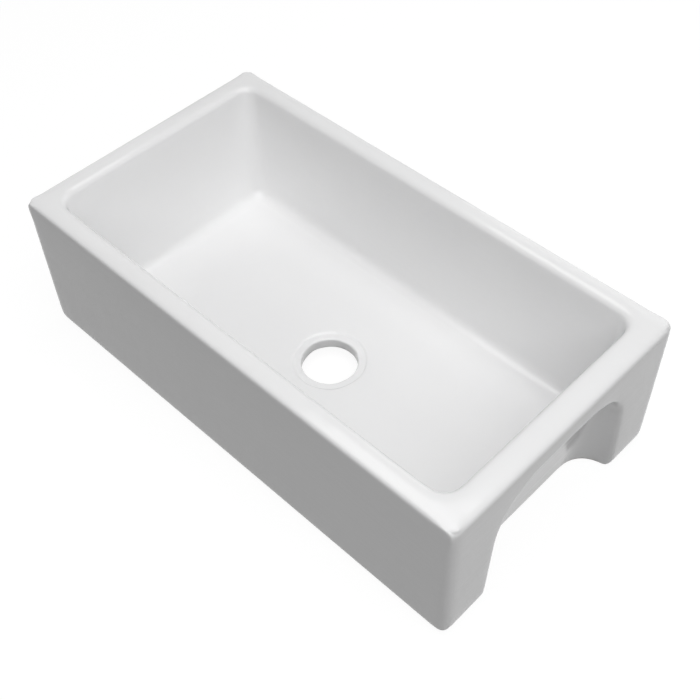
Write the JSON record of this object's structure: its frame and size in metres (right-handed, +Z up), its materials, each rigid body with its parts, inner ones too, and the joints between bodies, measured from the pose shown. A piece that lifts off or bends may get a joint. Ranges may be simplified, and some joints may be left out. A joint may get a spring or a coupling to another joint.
{
  "type": "apron-front kitchen sink",
  "caption": "Apron-front fireclay sink with one rectangular bowl, an open drain hole, recessed ends between corner legs and a white glossy glaze.",
  "frame": {"origin": "middle of the footprint, on the plane that the foot stands on", "axes": "+X along the front apron to the right, +Y from the front apron to the back, +Z up"},
  "size_m": [0.838, 0.45, 0.25],
  "materials": {
    "clay": "matte, fired, unglazed",
    "glaze": "white high-gloss glaze"
  },
  "bodies": {
    "root": {"fireclay_body": "clay", "glaze_coat": "glaze"}
  },
  "joints": []
}
